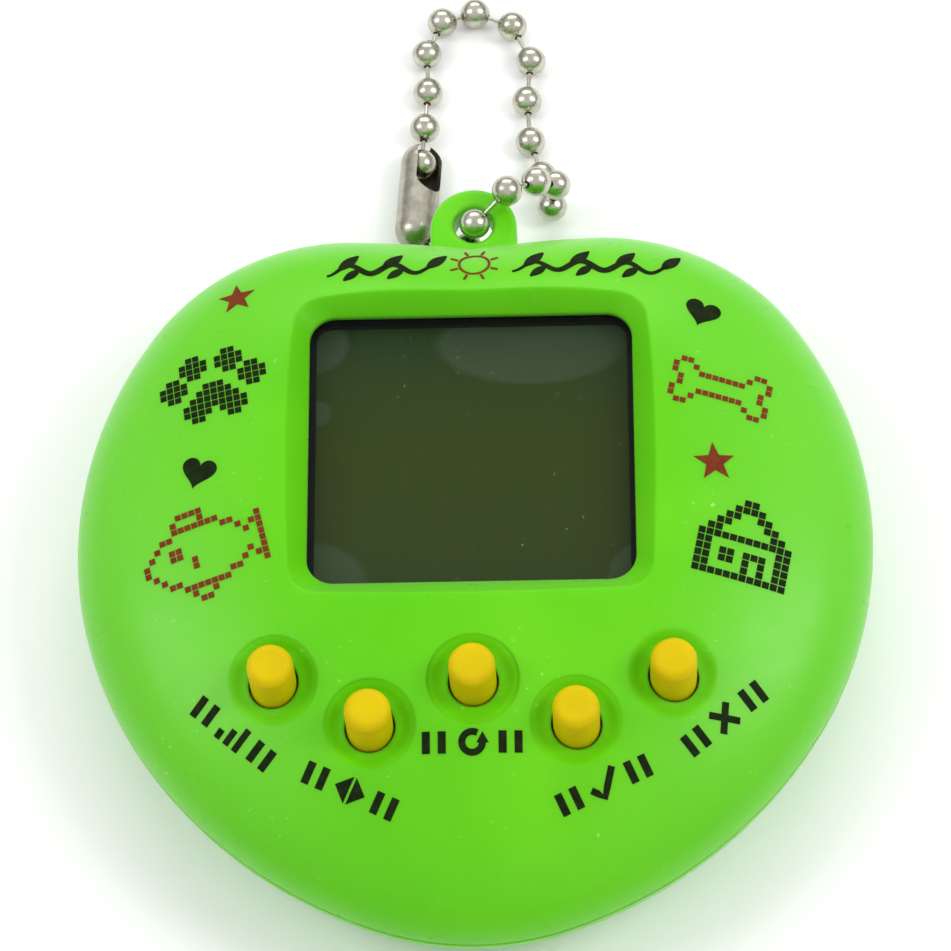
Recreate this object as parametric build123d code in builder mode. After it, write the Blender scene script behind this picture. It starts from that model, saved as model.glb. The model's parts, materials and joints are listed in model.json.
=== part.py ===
from build123d import *
import os
from math import atan2, degrees, radians, sin

os.makedirs("parts", exist_ok=True)

# A pebble-shaped virtual pet on a ball chain, lying on its back.
# Millimetres, +Z up out of the screen, +Y towards the keyring lug.
# The origin lies on the flat of the back, under the battery door.

# ---- case -----------------------------------------------------------------
TIP_Y = -35.2          # lowest point of the outline
OUTLINE_ARCS = ((21.6, 18.8), (35.0, 41.5), (30.4, 64.4), (17.4, 57.1), (95.0, 9.3))  # radius, degrees
DOME_Y = 6.0           # the domes shrink towards this point on the centre line
SEAM_Z = 8.0           # parting plane of the two shells
FRONT_RISE = 9.5       # front dome above the seam
BACK_FLAT = 0.56       # size of the flat back, as a share of the outline
DOME_POWER = 2.2       # 2 would be an ellipse, more is squarer
WALL = 1.6
SEAM_CHAMFER = 0.2
TONGUE_DROP = 1.0      # how far the front shell's tongue reaches into the rear shell
FRONT_SCALES = (1.0, 0.997, 0.985, 0.95, 0.89, 0.8, 0.68, 0.54, 0.38)
REAR_DEPTHS = (0.0, 0.15, 0.35, 0.55, 0.72, 0.85, 0.94, 0.985, 1.0)

# ---- keyring lug ----------------------------------------------------------
LUG_Y = 23.9
LUG_R = 3.4
LUG_HOLE_Y = 24.1
LUG_HOLE_R = 1.5
LUG_THICK = 2.6
LUG_EDGE = 0.45
LUG_ROOT = (14, 3)     # the plate that ties the lug into the wall
LUG_ROOT_Y = 20.3
LUG_ROOT_FILLET = 0.8

# ---- window and screen stack ----------------------------------------------
WINDOW = (24.4, 22.0)
WINDOW_Y = 1.64
WINDOW_CORNER = 2.0
WINDOW_Z = 14.7        # lower edge of the bevel
BEVEL = ((1.6, 1.3, 1.9), (3.2, 3.4, 2.0))  # height above the window, reach outwards, corner radius
LIP = 0.4
LENS = (26.6, 24.6)
LENS_THICK = 1.2
GASKET_THICK = 0.5
GASKET_OPENING = (23.6, 22.0)
POLARIZER_THICK = 0.2
GLASS_THICK = 0.7
FRONT_GLASS = (27.6, 25.6)
REAR_GLASS = (27.6, 21.6)
LENS_TOP = WINDOW_Z - LIP
GASKET_TOP = LENS_TOP - LENS_THICK
POLARIZER_TOP = GASKET_TOP - GASKET_THICK
FRONT_GLASS_TOP = POLARIZER_TOP - POLARIZER_THICK
REAR_GLASS_TOP = FRONT_GLASS_TOP - GLASS_THICK
REFLECTOR_TOP = REAR_GLASS_TOP - GLASS_THICK
CUSHION_TOP = REFLECTOR_TOP - POLARIZER_THICK

# ---- circuit board --------------------------------------------------------
BOARD_Z = 9.0
BOARD_THICK = 1.0
BOARD_TOP = BOARD_Z + BOARD_THICK
BOARD_INSET = 6.0
BOARD_LOW_Y = -27.5
BLOB = (-12.5, 9.5)
BLOB_R = 4.6
BLOB_SIZE = (1.5, 1.3)       # height and edge radius
CRYSTAL = (12.5, 11.0)
CRYSTAL_SIZE = (1.0, 6.0)    # radius and length
CAPACITOR = (1.0, 1.8, 0.9)
CAPACITOR_Y = 12.5
CAPACITOR_X = (-5.0, -1.5, 2.0, 5.5)
RESISTOR = (1.8, 0.9, 0.5)
RESISTOR_Y = -13.0
RESISTOR_X = (-12.0, -9.0, 9.0, 12.0)
ZEBRA = (24.0, 1.6)
ZEBRA_Y = 11.85        # from the middle of the screen

# ---- push buttons: name, x, y, dome height at the axis, dome slope in x and y
KEYS = (
    ("far_left", -14.5, -17.05, 15.0, (0.17, 0.18)),
    ("left", -7.4, -20.7, 15.25, (0.09, 0.19)),
    ("center", 0.15, -17.6, 16.05, (0.0, 0.14)),
    ("right", 7.6, -20.7, 15.25, (-0.09, 0.19)),
    ("far_right", 14.7, -17.05, 15.0, (-0.17, 0.18)),
)
KEY_R = 1.7
KEY_HOLE_R = 1.87
KEY_STANDS = 3.15      # above the dome
KEY_EDGE = 0.65
KEY_FLANGE = (2.6, 0.8)      # radius and thickness
KEY_STEM_R = 1.3
RECESS_DEPTH = 0.65
RECESS_WEB = 1.65      # material left under the middle of the recess
RECESS_BOSS_R = 3.85
# the recess is a shallow bowl square to the dome: radius and height of its floor's edge,
# its hollow side, where the curve turns over, its rounded rim, and where it leaves the dome
RECESS_SECTION = ((2.0, 0.0), (2.5, 0.08), (2.85, 0.3), (3.05, 0.43), (3.35, 0.55))
MAT_TOP = BOARD_TOP + 0.6
MAT_STRIP = 5.4        # width of the mat between two buttons
DOME_BASE = (1.9, 2.4)       # inner and outer radius where a return dome meets the mat
DOME_CROWN = (1.15, 1.5)     # the same at its top
DOME_TOP = MAT_TOP + 1.0
DOME_TOP_WALL = 0.3
CARBON_R = 0.9
CARBON_THICK = 0.45

# ---- battery compartment, door and buzzer ---------------------------------
CELL_X = 6.3
CELL_Y = -2.0
CELL_R = 5.8
CELL_H = 5.4
CELL_CAP = (4.6, 0.4)  # radius and height of the raised cap
STRIP = 0.2            # sheet thickness of the contacts
WELL_R = 6.05
WELL_WALL = 1.1
WELL_TOP = WALL + STRIP + CELL_H + STRIP
ROOF = 0.8
DOOR_R = 7.45
DOOR_GAP = 0.12
DOOR_SCREW_Y = CELL_Y + 9.4
DOOR_TAB_R = 3.0
DOOR_TAB_REACH = 6.0   # from the screw down into the door
DOOR_SCREW_POST_R = 2.2
GROOVE = (0.6, 2.0, 0.3)     # finger grooves along the door's lower edge
GROOVE_X = (-3.0, -1.5, 0.0, 1.5, 3.0)
LEDGE_THICK = 1.0
CONTACT = (3.6, 10.8)
CONTACT_TAIL = (1.4, 0.25)
CONTACT_TAIL_Y = 5.2   # from the middle of the cell
BUZZER_Y = -20.0
BUZZER_R = 7.8
BUZZER_Z = 3.4
BUZZER_THICK = 0.2     # of the brass disc, and of the ceramic on it
CERAMIC_R = 5.2
SOUND_HOLE_R = 0.6
SOUND_RING_R = 3.2

# ---- screws ---------------------------------------------------------------
# a head is a radius and a height, a shank is a radius and a length
CASE_SCREWS = ((-20.5, 9.5), (20.5, 9.5), (-21.5, -10.0), (21.5, -10.0))
CASE_SCREW_SEAT = 3.0
CASE_SCREW_R = 0.95
CASE_SCREW_HEAD = (1.85, 1.2)
CASE_SCREW_LENGTH = 8.5
CASE_SCREW_WELL_R = 2.1
CASE_BOSS_R = 2.7
FRONT_BOSS_R = 2.3
BOARD_BOSS_R = 1.9
BOARD_SCREWS = ((-18.4, 0.5), (18.4, 0.5), (0.0, -25.2))
BOARD_SCREW_R = 0.75
BOARD_SCREW_HEAD = (1.4, 0.9)
BOARD_SCREW_LENGTH = 4.0
DOOR_SCREW_SEAT = 0.88
DOOR_SCREW_HEAD = (1.55, 0.8)
DOOR_SCREW_R = 0.75
DOOR_SCREW_LENGTH = 5.2
DOOR_SCREW_HOLE_R = 0.95

# ---- ball chain -----------------------------------------------------------
BEAD_R = 1.2
BEAD_WALL = 0.25
BEAD_HOLE_R = 0.3
PIN_R = 0.18
PIN_HEAD_R = 0.34
PIN_HEAD_SET = 0.5    # pin head's distance from the middle of its bead
CLASP_R = 1.65
CLASP_WALL = 0.25
CLASP_MOUTH = (4.6, 2.5)      # length and width
CLASP_MOUTH_PLACE = 0.88      # from K3 towards K4
CLASP_MOUTH_TILT = 48         # degrees above sideways
CLASP_END_HOLE_R = 0.62
BEADS = {
    "A": (0.1, 24.1, 8.0),
    "B": (2.7, 26.0, 9.8),
    "C": (4.95, 27.9, 7.8),
    "D": (6.45, 29.3, 4.6),
    "E": (6.1, 29.0, 1.6),
    "X": (5.3, 32.0, 1.2),
    "F": (4.4, 35.2, 1.2),
    "R2": (4.15, 39.0, 1.2),
    "R1": (4.5, 42.75, 1.2),
    "T3": (3.0, 46.1, 1.2),
    "T2": (-0.05, 47.4, 1.2),
    "T1": (-2.75, 46.6, 1.2),
    "L3": (-4.0, 43.6, 1.2),
    "L2": (-3.9, 40.0, 1.2),
    "L1": (-4.15, 36.4, 1.65),
    "K4": (-4.4, 33.1, 1.65),
    "K3": (-4.85, 27.1, 1.65),
    "K2": (-2.3, 24.5, 1.5),
    "K1": (-0.6, 23.8, 4.5),
}
PINS = (
    ("K1", "K2"), ("K2", "K3"), ("A", "K1"), ("A", "B"), ("B", "C"), ("C", "D"), ("D", "E"), ("E", "X"),
    ("X", "F"), ("L1", "K4"), ("F", "R2"), ("L1", "L2"), ("R2", "R1"), ("L2", "L3"),
    ("R1", "T3"), ("L3", "T1"), ("T3", "T2"), ("T1", "T2"),
)
CHAIN_BODIES = {
    "near": (("A", "B", "C", "D", "E", "X", "K1", "K2"), PINS[0:8]),
    "lift": (("F", "L1", "K4", "K3"), PINS[8:10]),
    "fold_1": (("R2", "L2"), PINS[10:12]),
    "fold_2": (("R1", "L3"), PINS[12:14]),
    "fold_3": (("T3", "T2", "T1"), PINS[14:18]),
}

BOTTOM = (Align.CENTER, Align.CENTER, Align.MIN)
TOP = (Align.CENTER, Align.CENTER, Align.MAX)


def case_section(height, inset=0.0, scale=1.0):
    """The case outline at a height, moved inwards by inset, then shrunk towards the dome centre."""
    with BuildSketch(Plane.XY.offset(height)) as section:
        with BuildLine() as outline:
            start_y = DOME_Y + (TIP_Y + inset - DOME_Y) * scale
            arc = JernArc((0, start_y), (1, 0), (OUTLINE_ARCS[0][0] - inset) * scale, OUTLINE_ARCS[0][1])
            for radius, angle in OUTLINE_ARCS[1:]:
                arc = JernArc(arc @ 1, arc % 1, (radius - inset) * scale, angle)
            dip = sum(angle for radius, angle in OUTLINE_ARCS) - 180
            JernArc(arc @ 1, arc % 1, (arc @ 1).X / sin(radians(dip)), -dip)
            mirror(about=Plane.YZ)
        make_face()
    return section.sketch


def front_dome(inset=0.0, bottom=0.0):
    """Sections of the front dome, from bottom above the seam up to a cap inside the window."""
    rise = FRONT_RISE - inset
    sections = []
    for scale in FRONT_SCALES:
        height = rise * (1 - scale**DOME_POWER) ** (1 / DOME_POWER)
        sections.append(case_section(SEAM_Z + max(height, bottom), inset, scale))
    return sections


def rear_dome(inset=0.0, top=0.0):
    """Sections of the rear dome, from top below the seam down to the flat back."""
    depth = SEAM_Z - inset
    sections = []
    for share in REAR_DEPTHS:
        scale = BACK_FLAT + (1 - BACK_FLAT) * (1 - share**DOME_POWER) ** (1 / DOME_POWER)
        sections.append(case_section(SEAM_Z - max(depth * share, top), inset, scale))
    return sections


# ---- front shell ----------------------------------------------------------
with BuildPart() as front_ribs:
    with BuildSketch(Plane.XY.offset(POLARIZER_TOP)):
        with Locations((0, WINDOW_Y)):
            RectangleRounded(LENS[0] + 2.8, LENS[1] + 2.8, 2.5)
    extrude(amount=FRONT_RISE)
    with Locations(*[(x, y, SEAM_Z) for x, y in CASE_SCREWS]):
        Cylinder(FRONT_BOSS_R, FRONT_RISE, align=BOTTOM)
    with Locations(*[(x, y, BOARD_TOP) for x, y in BOARD_SCREWS]):
        Cylinder(BOARD_BOSS_R, FRONT_RISE, align=BOTTOM)
    for name, x, y, surface, slope in KEYS:
        with Locations((x, y, surface - RECESS_DEPTH - RECESS_WEB)):
            Cylinder(RECESS_BOSS_R, FRONT_RISE, align=BOTTOM)
    loft(front_dome(inset=0.5), mode=Mode.INTERSECT)

with BuildPart() as front_tongue:
    add(case_section(SEAM_Z - TONGUE_DROP, WALL + 0.2))
    extrude(amount=TONGUE_DROP)
    add(case_section(SEAM_Z, WALL - 0.6))
    extrude(amount=TONGUE_DROP)
    add(case_section(SEAM_Z - TONGUE_DROP, WALL + 0.9))
    extrude(amount=2 * TONGUE_DROP, mode=Mode.SUBTRACT)

with BuildPart() as front_shell:
    loft(front_dome(bottom=SEAM_CHAMFER))
    loft([case_section(SEAM_Z, SEAM_CHAMFER), case_section(SEAM_Z + SEAM_CHAMFER)], ruled=True)
    loft(front_dome(inset=WALL), mode=Mode.SUBTRACT)
    add(front_tongue.part)
    add(front_ribs.part)
    # bevelled window, its lip and the pocket for the lens
    with BuildSketch(Plane.XY.offset(WINDOW_Z)):
        with Locations((0, WINDOW_Y)):
            RectangleRounded(*WINDOW, WINDOW_CORNER)
    for rise, reach, corner in BEVEL:
        with BuildSketch(Plane.XY.offset(WINDOW_Z + rise)):
            with Locations((0, WINDOW_Y)):
                RectangleRounded(WINDOW[0] + 2 * reach, WINDOW[1] + 2 * reach, corner)
    loft(mode=Mode.SUBTRACT)
    with BuildSketch(Plane.XY.offset(WINDOW_Z)):
        with Locations((0, WINDOW_Y)):
            RectangleRounded(*WINDOW, WINDOW_CORNER)
    extrude(amount=-LIP, mode=Mode.SUBTRACT)
    with BuildSketch(Plane.XY.offset(LENS_TOP)):
        with Locations((0, WINDOW_Y)):
            RectangleRounded(LENS[0] + 0.2, LENS[1] + 0.2, 1.6)
    extrude(amount=-3.0, mode=Mode.SUBTRACT)
    # dished recess and hole of each button
    for name, x, y, surface, slope in KEYS:
        upward = Vector(-slope[0], -slope[1], 1).normalized()
        across = upward.cross(Vector(0, 1, 0)).normalized()
        floor = Vector(x, y, surface) - upward * RECESS_DEPTH
        edge, hollow, turn, rounding, rim = RECESS_SECTION
        with BuildSketch(Plane(floor, x_dir=across, z_dir=across.cross(upward))):
            with BuildLine():
                Line((0, 0), edge)
                ThreePointArc(edge, hollow, turn)
                ThreePointArc(turn, rounding, rim)
                Polyline(rim, (rim[0] + 0.3, 2), (0, 2), (0, 0))
            make_face()
        revolve(axis=Axis(floor, upward), mode=Mode.SUBTRACT)
        with Locations((x, y, surface)):
            Cylinder(KEY_HOLE_R, 6, mode=Mode.SUBTRACT)
    with Locations(*[(x, y, SEAM_Z) for x, y in CASE_SCREWS]):
        Cylinder(CASE_SCREW_R + 0.05, 4.2, align=BOTTOM, mode=Mode.SUBTRACT)
    with Locations(*[(x, y, BOARD_TOP) for x, y in BOARD_SCREWS]):
        Cylinder(BOARD_SCREW_R + 0.05, 3.4, align=BOTTOM, mode=Mode.SUBTRACT)
front_shell.part.label = "front_shell"
export_step(front_shell.part, "parts/front_shell.step")


# ---- rear shell -----------------------------------------------------------
with BuildPart() as rear_ribs:
    with Locations(*[(x, y, 0) for x, y in CASE_SCREWS]):
        Cylinder(CASE_BOSS_R, SEAM_Z, align=BOTTOM)
    with Locations((0, BUZZER_Y, 0)):
        Cylinder(BUZZER_R + 0.5, BUZZER_Z, align=BOTTOM)
        Cylinder(BUZZER_R - 0.8, BUZZER_Z, align=BOTTOM, mode=Mode.SUBTRACT)
    loft(rear_dome(inset=0.5), mode=Mode.INTERSECT)

with BuildPart() as battery_well:
    with BuildSketch(Plane.XY.offset(WALL)):
        with Locations((0, CELL_Y)):
            SlotCenterToCenter(2 * CELL_X, 2 * (DOOR_R + 1.2))
        with Locations((0, DOOR_SCREW_Y)):
            Circle(DOOR_TAB_R + 1.4)
    extrude(amount=LEDGE_THICK)
    with BuildSketch(Plane.XY.offset(WALL)):
        with Locations((0, CELL_Y)):
            SlotCenterToCenter(2 * CELL_X, 2 * (WELL_R + WELL_WALL))
    extrude(amount=WELL_TOP + ROOF - WALL)
    with Locations((0, DOOR_SCREW_Y, WALL)):
        Cylinder(DOOR_SCREW_POST_R, WELL_TOP - WALL, align=BOTTOM)
    with BuildSketch(Plane.XY.offset(WALL)):
        with Locations((0, CELL_Y)):
            SlotCenterToCenter(2 * CELL_X, 2 * WELL_R)
    extrude(amount=WELL_TOP - WALL, mode=Mode.SUBTRACT)
    # slots in the roof for the tails of the two contacts
    with Locations(*[(x, CELL_Y + CONTACT_TAIL_Y, WELL_TOP) for x in (-CELL_X, CELL_X)]):
        Box(CONTACT_TAIL[0] + 0.4, CONTACT_TAIL[1] + 0.35, ROOF, align=BOTTOM, mode=Mode.SUBTRACT)

with BuildPart() as lug:
    with BuildSketch(Plane.XY.offset(SEAM_Z - LUG_THICK)) as lug_sketch:
        with Locations((0, LUG_Y)):
            Circle(LUG_R)
        with Locations((0, LUG_Y)):
            Rectangle(2 * LUG_R, LUG_Y - LUG_ROOT_Y + LUG_ROOT[1], align=(Align.CENTER, Align.MAX))
        with Locations((0, LUG_ROOT_Y)):
            Rectangle(*LUG_ROOT, align=(Align.CENTER, Align.MAX))
        inner_corners = [v for v in lug_sketch.vertices()
                         if abs(v.Y - LUG_ROOT_Y) < 0.01 and abs(v.X) < LUG_ROOT[0] / 3]
        fillet(inner_corners, radius=LUG_ROOT_FILLET)
    extrude(amount=LUG_THICK)
    with Locations((0, LUG_HOLE_Y, SEAM_Z)):
        Cylinder(LUG_HOLE_R, 2 * LUG_THICK + 1, mode=Mode.SUBTRACT)
    fillet([e for e in lug.edges().group_by(Axis.Z)[-1] + lug.edges().group_by(Axis.Z)[0]
            if e.center().Y > LUG_ROOT_Y], radius=LUG_EDGE)

with BuildPart() as rear_shell:
    loft(rear_dome(top=SEAM_CHAMFER))
    loft([case_section(SEAM_Z - SEAM_CHAMFER), case_section(SEAM_Z, SEAM_CHAMFER)], ruled=True)
    add(lug.part)
    loft(rear_dome(inset=WALL), mode=Mode.SUBTRACT)
    add(rear_ribs.part)
    add(battery_well.part)
    # opening for the battery door, with its screw tab
    with BuildSketch(Plane.XY):
        with Locations((0, CELL_Y)):
            SlotCenterToCenter(2 * CELL_X, 2 * (DOOR_R + DOOR_GAP))
        with Locations((0, DOOR_SCREW_Y)):
            Circle(DOOR_TAB_R + DOOR_GAP)
            Rectangle(2 * (DOOR_TAB_R + DOOR_GAP), DOOR_TAB_REACH, align=(Align.CENTER, Align.MAX))
    extrude(amount=WALL, mode=Mode.SUBTRACT)
    with Locations((0, DOOR_SCREW_Y, 0)):
        Cylinder(DOOR_SCREW_HOLE_R, DOOR_SCREW_SEAT + DOOR_SCREW_LENGTH + 0.5, align=BOTTOM, mode=Mode.SUBTRACT)
    for x, y in CASE_SCREWS:
        with Locations((x, y, 0)):
            Cylinder(CASE_SCREW_WELL_R, CASE_SCREW_SEAT, align=BOTTOM, mode=Mode.SUBTRACT)
            Cylinder(CASE_SCREW_R + 0.15, SEAM_Z, align=BOTTOM, mode=Mode.SUBTRACT)
    # sound holes under the buzzer
    with Locations((0, BUZZER_Y, 0)):
        Cylinder(SOUND_HOLE_R, BUZZER_Z, align=BOTTOM, mode=Mode.SUBTRACT)
        with PolarLocations(SOUND_RING_R, 6):
            Cylinder(SOUND_HOLE_R, BUZZER_Z, align=BOTTOM, mode=Mode.SUBTRACT)
rear_shell.part.label = "rear_shell"
export_step(rear_shell.part, "parts/rear_shell.step")


# ---- screen ---------------------------------------------------------------
def screen_plate(name, top, thickness, size, corner, opening=None):
    """A flat plate of the screen stack, lying under the window."""
    with BuildPart() as plate:
        with BuildSketch(Plane.XY.offset(top - thickness)):
            with Locations((0, WINDOW_Y)):
                RectangleRounded(*size, corner)
                if opening:
                    RectangleRounded(*opening, corner, mode=Mode.SUBTRACT)
        extrude(amount=thickness)
    plate.part.label = name
    export_step(plate.part, f"parts/{name}.step")


screen_plate("screen_lens", LENS_TOP, LENS_THICK, LENS, 1.5)
screen_plate("screen_gasket", GASKET_TOP, GASKET_THICK, LENS, 1.2, GASKET_OPENING)
screen_plate("lcd_front_polarizer", POLARIZER_TOP, POLARIZER_THICK, (26.4, 23.6), 0.4)
screen_plate("lcd_front_glass", FRONT_GLASS_TOP, GLASS_THICK, FRONT_GLASS, 0.3)
screen_plate("lcd_rear_glass", REAR_GLASS_TOP, GLASS_THICK, REAR_GLASS, 0.3)
screen_plate("lcd_reflector", REFLECTOR_TOP, POLARIZER_THICK, (26.4, 20.6), 0.4)
screen_plate("lcd_cushion", CUSHION_TOP, CUSHION_TOP - BOARD_TOP, (25.0, 19.6), 1.0)

for name, side in (("zebra_strip_upper", 1), ("zebra_strip_lower", -1)):
    with BuildPart() as zebra:
        with BuildSketch(Plane.XY.offset(BOARD_TOP)):
            with Locations((0, WINDOW_Y + side * ZEBRA_Y)):
                RectangleRounded(*ZEBRA, 0.4)
        extrude(amount=REAR_GLASS_TOP - BOARD_TOP)
    zebra.part.label = name
    export_step(zebra.part, f"parts/{name}.step")

# ---- circuit board and what is soldered to it ------------------------------
with BuildPart() as circuit_board:
    add(case_section(BOARD_Z, BOARD_INSET))
    extrude(amount=BOARD_THICK)
    with Locations((0, BOARD_LOW_Y, BOARD_Z)):
        Box(30, 10, BOARD_THICK, align=(Align.CENTER, Align.MAX, Align.MIN), mode=Mode.SUBTRACT)
    with Locations(*[(x, y, BOARD_Z) for x, y in CASE_SCREWS]):
        Cylinder(CASE_BOSS_R, BOARD_THICK, align=BOTTOM, mode=Mode.SUBTRACT)
    with Locations(*[(x, y, BOARD_Z) for x, y in BOARD_SCREWS]):
        Cylinder(BOARD_SCREW_R + 0.15, BOARD_THICK, align=BOTTOM, mode=Mode.SUBTRACT)
circuit_board.part.label = "circuit_board"
export_step(circuit_board.part, "parts/circuit_board.step")

with BuildPart() as controller_blob:
    with Locations((*BLOB, BOARD_Z)):
        Cylinder(BLOB_R, BLOB_SIZE[0], align=TOP)
    fillet(controller_blob.edges().group_by(Axis.Z)[0], radius=BLOB_SIZE[1])
controller_blob.part.label = "controller_blob"
export_step(controller_blob.part, "parts/controller_blob.step")

with BuildPart() as clock_crystal:
    with Locations(Location((*CRYSTAL, BOARD_Z - CRYSTAL_SIZE[0]), (0, 90, 0))):
        Cylinder(*CRYSTAL_SIZE)
    fillet(clock_crystal.edges(), radius=0.2)
clock_crystal.part.label = "clock_crystal"
export_step(clock_crystal.part, "parts/clock_crystal.step")

with BuildPart() as chip_capacitors:
    with Locations(*[(x, CAPACITOR_Y, BOARD_Z) for x in CAPACITOR_X]):
        Box(*CAPACITOR, align=TOP)
chip_capacitors.part.label = "chip_capacitors"
export_step(chip_capacitors.part, "parts/chip_capacitors.step")

with BuildPart() as chip_resistors:
    with Locations(*[(x, RESISTOR_Y, BOARD_Z) for x in RESISTOR_X]):
        Box(*RESISTOR, align=TOP)
chip_resistors.part.label = "chip_resistors"
export_step(chip_resistors.part, "parts/chip_resistors.step")

# ---- push buttons, their rubber mat, return domes and carbon pills ---------
with BuildPart() as keypad_mat:
    with BuildSketch(Plane.XY.offset(BOARD_TOP)):
        for left, right in zip(KEYS[:-1], KEYS[1:]):
            start = Vector(*left[1:3])
            step = Vector(*right[1:3]) - start
            with Locations(start + step * 0.5):
                SlotCenterToCenter(step.length, MAT_STRIP, rotation=degrees(atan2(step.Y, step.X)))
        with Locations(*[key[1:3] for key in KEYS]):
            Circle(DOME_BASE[0], mode=Mode.SUBTRACT)
    extrude(amount=MAT_TOP - BOARD_TOP)
keypad_mat.part.label = "keypad_mat"
export_step(keypad_mat.part, "parts/keypad_mat.step")

for name, x, y, surface, slope in KEYS:
    flange_top = surface - RECESS_DEPTH - RECESS_WEB - 0.05
    flange_bottom = flange_top - KEY_FLANGE[1]
    with BuildPart() as button:
        with Locations((x, y, flange_bottom)):
            Cylinder(KEY_FLANGE[0], KEY_FLANGE[1], align=BOTTOM)
            Cylinder(KEY_R, surface + KEY_STANDS - flange_bottom, align=BOTTOM)
        fillet(button.edges().group_by(Axis.Z)[-1], radius=KEY_EDGE)
        with Locations((x, y, DOME_TOP)):
            Cylinder(KEY_STEM_R, flange_bottom - DOME_TOP, align=BOTTOM)
    button.part.label = f"button_{name}"
    export_step(button.part, f"parts/button_{name}.step")

    with BuildPart() as return_dome:
        with BuildSketch(Plane((x, y, MAT_TOP), x_dir=(1, 0, 0), z_dir=(0, -1, 0))):
            with BuildLine():
                rise = DOME_TOP - MAT_TOP
                Polyline((DOME_BASE[0], 0), (DOME_BASE[1], 0), (DOME_CROWN[1], rise), (0, rise),
                         (0, rise - DOME_TOP_WALL), (DOME_CROWN[0], rise - DOME_TOP_WALL), (DOME_BASE[0], 0))
            make_face()
        revolve(axis=Axis((x, y, 0), (0, 0, 1)))
    return_dome.part.label = f"return_dome_{name}"
    export_step(return_dome.part, f"parts/return_dome_{name}.step")

    with BuildPart() as carbon_pill:
        with Locations((x, y, DOME_TOP - DOME_TOP_WALL)):
            Cylinder(CARBON_R, CARBON_THICK, align=TOP)
    carbon_pill.part.label = f"carbon_pill_{name}"
    export_step(carbon_pill.part, f"parts/carbon_pill_{name}.step")

# ---- battery cells, contacts, door and its screw ---------------------------
# the left cell's cap points up and the right cell's points down, so the door's strip joins them in series
for name, side in (("battery_cell_left", -1), ("battery_cell_right", 1)):
    low = WALL + STRIP
    can_z, can_grows = (low, BOTTOM) if side < 0 else (low + CELL_H, TOP)
    with BuildPart() as cell:
        with Locations((side * CELL_X, CELL_Y, low)):
            Cylinder(CELL_CAP[0], CELL_H, align=BOTTOM)
        with Locations((side * CELL_X, CELL_Y, can_z)):
            Cylinder(CELL_R, CELL_H - CELL_CAP[1], align=can_grows)
    cell.part.label = name
    export_step(cell.part, f"parts/{name}.step")

for name, side in (("battery_contact_negative", -1), ("battery_contact_positive", 1)):
    with BuildPart() as contact:
        with Locations((side * CELL_X, CELL_Y, WELL_TOP)):
            Box(*CONTACT, STRIP, align=TOP)
        with Locations((side * CELL_X, CELL_Y + CONTACT_TAIL_Y, WELL_TOP - STRIP)):
            Box(*CONTACT_TAIL, BOARD_Z - WELL_TOP + STRIP, align=BOTTOM)
    contact.part.label = name
    export_step(contact.part, f"parts/{name}.step")

with BuildPart() as battery_bridge:
    with BuildSketch(Plane.XY.offset(WALL)):
        with Locations((0, CELL_Y)):
            RectangleRounded(18.0, 5.0, 1.0)
    extrude(amount=STRIP)
battery_bridge.part.label = "battery_bridge"
export_step(battery_bridge.part, "parts/battery_bridge.step")

with BuildPart() as battery_door:
    with BuildSketch(Plane.XY):
        with Locations((0, CELL_Y)):
            SlotCenterToCenter(2 * CELL_X, 2 * DOOR_R)
        with Locations((0, DOOR_SCREW_Y)):
            Circle(DOOR_TAB_R)
            Rectangle(2 * DOOR_TAB_R, DOOR_TAB_REACH, align=(Align.CENTER, Align.MAX))
    extrude(amount=WALL)
    chamfer(battery_door.edges().group_by(Axis.Z)[0], length=0.2)
    with Locations((0, DOOR_SCREW_Y, 0)):
        Cylinder(DOOR_SCREW_HEAD[0] + 0.15, DOOR_SCREW_SEAT + 0.02, align=BOTTOM, mode=Mode.SUBTRACT)
        Cylinder(DOOR_SCREW_HOLE_R, WALL, align=BOTTOM, mode=Mode.SUBTRACT)
    with Locations(*[(x, CELL_Y - DOOR_R + 0.8 * GROOVE[1], 0) for x in GROOVE_X]):
        Box(*GROOVE, align=BOTTOM, mode=Mode.SUBTRACT)
battery_door.part.label = "battery_door"
export_step(battery_door.part, "parts/battery_door.step")


# ---- screws ---------------------------------------------------------------
def screw_group(name, places, head_z, head, shank_r, length):
    """Cross-head screws driven upwards: the heads lie below head_z, the shanks rise above it."""
    head_r, head_h = head
    with BuildPart() as screws:
        with Locations(*[(x, y, head_z) for x, y in places]):
            Cylinder(head_r, head_h, align=TOP)
            Cylinder(shank_r, length, align=BOTTOM)
        with Locations(*[(x, y, head_z - head_h) for x, y in places]):
            Box(1.2 * head_r, 0.24 * head_r, 0.5 * head_h, align=BOTTOM, mode=Mode.SUBTRACT)
            Box(0.24 * head_r, 1.2 * head_r, 0.5 * head_h, align=BOTTOM, mode=Mode.SUBTRACT)
    screws.part.label = name
    export_step(screws.part, f"parts/{name}.step")


screw_group("case_screws", CASE_SCREWS, CASE_SCREW_SEAT, CASE_SCREW_HEAD, CASE_SCREW_R, CASE_SCREW_LENGTH)
screw_group("board_screws", BOARD_SCREWS, BOARD_Z, BOARD_SCREW_HEAD, BOARD_SCREW_R, BOARD_SCREW_LENGTH)
screw_group(
    "battery_door_screw", ((0, DOOR_SCREW_Y),), DOOR_SCREW_SEAT, DOOR_SCREW_HEAD, DOOR_SCREW_R, DOOR_SCREW_LENGTH
)

# ---- buzzer ---------------------------------------------------------------
with BuildPart() as buzzer_disc:
    with Locations((0, BUZZER_Y, BUZZER_Z)):
        Cylinder(BUZZER_R, BUZZER_THICK, align=BOTTOM)
buzzer_disc.part.label = "buzzer_disc"
export_step(buzzer_disc.part, "parts/buzzer_disc.step")

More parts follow.
